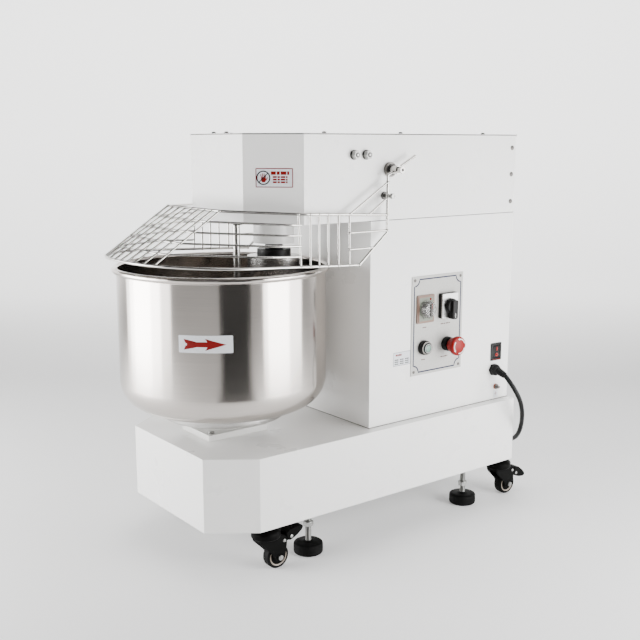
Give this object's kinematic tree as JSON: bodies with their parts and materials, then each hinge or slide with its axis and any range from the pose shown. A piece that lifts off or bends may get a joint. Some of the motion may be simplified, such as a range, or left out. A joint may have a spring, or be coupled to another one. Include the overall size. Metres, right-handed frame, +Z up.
{
  "type": "spiral dough mixer",
  "caption": "Commercial stand mixer for dough: boxy white head and column on a chamfered base, turning steel bowl, spiral hook, hinged wire guard, side control panel, castors and feet.",
  "frame": {"origin": "on the floor, under the middle of the machine's box in plan", "axes": "+Z up, -Y toward the bowl end (the front), +X toward the control panel side"},
  "size_m": [0.4458, 1.0486, 0.8114],
  "materials": {
    "white_enamel": "gloss powder coat",
    "stainless": "satin",
    "bowl_stainless": "polished satin",
    "zinc_steel": "bright zinc plate",
    "dark_steel": "oiled",
    "bearing_steel": "ground",
    "grey_iron": "satin paint",
    "motor_grey": "satin paint",
    "rubber": "matt",
    "cord_rubber": "satin",
    "black_plastic": "satin",
    "clear_plastic": "gloss",
    "panel_film": "satin film",
    "panel_metal": "satin",
    "green_plastic": "gloss",
    "red_plastic": "satin",
    "castor_black": "satin",
    "wheel_black": "matt",
    "foot_nylon": "satin"
  },
  "bodies": {
    "frame": {"base_shell": "white_enamel", "chassis_plate": "zinc_steel", "column_shell": "white_enamel", "head_shell": "white_enamel", "head_plate": "white_enamel", "head_lid": "white_enamel", "rear_cover": "white_enamel", "cover_screws": "zinc_steel", "bowl_housing": "grey_iron", "spiral_housing": "white_enamel", "breaker_bar": "stainless", "motor": "motor_grey", "shaft_bearings": "bearing_steel", "drive_belt": "rubber", "drive_chains": "dark_steel", "pivot_bushes": "stainless", "frame_bolts": "zinc_steel", "control_plate": "panel_film", "timer_body": "clear_plastic", "selector_base": "panel_metal", "button_collars": "black_plastic", "switch_frame": "black_plastic", "cord_gland": "black_plastic", "cord": "cord_rubber", "cord_coil": "cord_rubber", "cord_plug": "black_plastic"},
    "bowl_group": {"bowl": "bowl_stainless", "bowl_hub": "stainless", "bowl_shaft": "dark_steel"},
    "spiral_group": {"spiral_hook": "stainless", "spiral_seal": "black_plastic", "spiral_shaft": "dark_steel"},
    "main_drive": {"main_shaft": "dark_steel"},
    "motor_rotor": {"motor_pulley": "dark_steel"},
    "jack_drive": {"jackshaft": "dark_steel"},
    "guard": {"guard_top_hoop": "stainless", "guard_low_hoop": "stainless", "guard_wires": "stainless", "guard_arms": "stainless"},
    "timer_dial": {"timer_knob": "clear_plastic"},
    "selector_lever": {"selector_knob": "black_plastic"},
    "start_push": {"start_button": "green_plastic"},
    "stop_push": {"stop_button": "red_plastic"},
    "power_switch": {"power_rocker": "black_plastic"},
    "right_front_castor": {"right_front_fork": "castor_black"},
    "right_front_roller": {"right_front_wheel": "wheel_black"},
    "right_front_brake": {"right_front_pedal": "castor_black"},
    "right_front_leveller": {"right_front_foot": "foot_nylon"},
    "right_rear_castor": {"right_rear_fork": "castor_black"},
    "right_rear_roller": {"right_rear_wheel": "wheel_black"},
    "right_rear_brake": {"right_rear_pedal": "castor_black"},
    "right_rear_leveller": {"right_rear_foot": "foot_nylon"},
    "left_front_castor": {"left_front_fork": "castor_black"},
    "left_front_roller": {"left_front_wheel": "wheel_black"},
    "left_front_brake": {"left_front_pedal": "castor_black"},
    "left_front_leveller": {"left_front_foot": "foot_nylon"},
    "left_rear_castor": {"left_rear_fork": "castor_black"},
    "left_rear_roller": {"left_rear_wheel": "wheel_black"},
    "left_rear_brake": {"left_rear_pedal": "castor_black"},
    "left_rear_leveller": {"left_rear_foot": "foot_nylon"}
  },
  "joints": [
    {"name": "main_spin", "type": "hinge", "parent": "frame", "child": "main_drive", "pos_m": [0, 0.118, 0.4], "axis": [0, 0, 1], "continuous": true},
    {"name": "bowl_spin", "type": "hinge", "parent": "frame", "child": "bowl_group", "pos_m": [0, -0.246, 0.4], "axis": [0, 0, 1], "continuous": true},
    {"name": "spiral_spin", "type": "hinge", "parent": "frame", "child": "spiral_group", "pos_m": [0, -0.124, 0.5], "axis": [0, 0, 1], "continuous": true},
    {"name": "jack_spin", "type": "hinge", "parent": "frame", "child": "jack_drive", "pos_m": [0, -0.066, 0.15], "axis": [0, 0, 1], "continuous": true},
    {"name": "motor_spin", "type": "hinge", "parent": "frame", "child": "motor_rotor", "pos_m": [0, 0.293, 0.36], "axis": [0, 0, 1], "continuous": true},
    {"name": "guard_lift", "type": "hinge", "parent": "frame", "child": "guard", "pos_m": [0, 0.027, 0.74], "axis": [-1, 0, 0], "range_deg": [0, 80]},
    {"name": "timer_turn", "type": "hinge", "parent": "frame", "child": "timer_dial", "pos_m": [0.1729, 0.129, 0.458], "axis": [1, 0, 0], "range_deg": [0, 300]},
    {"name": "selector_turn", "type": "hinge", "parent": "frame", "child": "selector_lever", "pos_m": [0.1729, 0.191, 0.46], "axis": [1, 0, 0], "range_deg": [-45, 45]},
    {"name": "start_press", "type": "slide", "parent": "frame", "child": "start_push", "axis": [-1, 0, 0], "range_m": [0, 0.003], "stiffness_N_per_m": 600},
    {"name": "stop_press", "type": "slide", "parent": "frame", "child": "stop_push", "axis": [-1, 0, 0], "range_m": [0, 0.004]},
    {"name": "power_rock", "type": "hinge", "parent": "frame", "child": "power_switch", "pos_m": [0.1674, 0.34775, 0.3395], "axis": [0, 1, 0], "range_deg": [-8, 8]},
    {"name": "right_front_swivel", "type": "hinge", "parent": "frame", "child": "right_front_castor", "pos_m": [0.165, -0.263, 0.08], "axis": [0, 0, 1], "continuous": true},
    {"name": "right_front_roll", "type": "hinge", "parent": "right_front_castor", "child": "right_front_roller", "pos_m": [0.165, -0.241, 0.024], "axis": [1, 0, 0], "continuous": true},
    {"name": "right_front_pedal_press", "type": "hinge", "parent": "right_front_castor", "child": "right_front_brake", "pos_m": [0.165, -0.231, 0.055], "axis": [1, 0, 0], "range_deg": [-42, 0]},
    {"name": "right_front_level", "type": "slide", "parent": "frame", "child": "right_front_leveller", "axis": [0, 0, 1], "range_m": [-0.03, 0.008]},
    {"name": "right_rear_swivel", "type": "hinge", "parent": "frame", "child": "right_rear_castor", "pos_m": [0.165, 0.377, 0.08], "axis": [0, 0, 1], "continuous": true},
    {"name": "right_rear_roll", "type": "hinge", "parent": "right_rear_castor", "child": "right_rear_roller", "pos_m": [0.165, 0.399, 0.024], "axis": [1, 0, 0], "continuous": true},
    {"name": "right_rear_pedal_press", "type": "hinge", "parent": "right_rear_castor", "child": "right_rear_brake", "pos_m": [0.165, 0.409, 0.055], "axis": [1, 0, 0], "range_deg": [0, 42]},
    {"name": "right_rear_level", "type": "slide", "parent": "frame", "child": "right_rear_leveller", "axis": [0, 0, 1], "range_m": [-0.03, 0.008]},
    {"name": "left_front_swivel", "type": "hinge", "parent": "frame", "child": "left_front_castor", "pos_m": [-0.165, -0.263, 0.08], "axis": [0, 0, 1], "continuous": true},
    {"name": "left_front_roll", "type": "hinge", "parent": "left_front_castor", "child": "left_front_roller", "pos_m": [-0.165, -0.241, 0.024], "axis": [1, 0, 0], "continuous": true},
    {"name": "left_front_pedal_press", "type": "hinge", "parent": "left_front_castor", "child": "left_front_brake", "pos_m": [-0.165, -0.231, 0.055], "axis": [1, 0, 0], "range_deg": [-42, 0]},
    {"name": "left_front_level", "type": "slide", "parent": "frame", "child": "left_front_leveller", "axis": [0, 0, 1], "range_m": [-0.03, 0.008]},
    {"name": "left_rear_swivel", "type": "hinge", "parent": "frame", "child": "left_rear_castor", "pos_m": [-0.165, 0.377, 0.08], "axis": [0, 0, 1], "continuous": true},
    {"name": "left_rear_roll", "type": "hinge", "parent": "left_rear_castor", "child": "left_rear_roller", "pos_m": [-0.165, 0.399, 0.024], "axis": [1, 0, 0], "continuous": true},
    {"name": "left_rear_pedal_press", "type": "hinge", "parent": "left_rear_castor", "child": "left_rear_brake", "pos_m": [-0.165, 0.409, 0.055], "axis": [1, 0, 0], "range_deg": [0, 42]},
    {"name": "left_rear_level", "type": "slide", "parent": "frame", "child": "left_rear_leveller", "axis": [0, 0, 1], "range_m": [-0.03, 0.008]}
  ],
  "couplings": [
    {"joint": "jack_spin", "follows": "main_spin", "ratio": 0.29333},
    {"joint": "bowl_spin", "follows": "main_spin", "ratio": 0.080667},
    {"joint": "spiral_spin", "follows": "main_spin", "ratio": 0.7},
    {"joint": "motor_spin", "follows": "main_spin", "ratio": 5.2727}
  ]
}
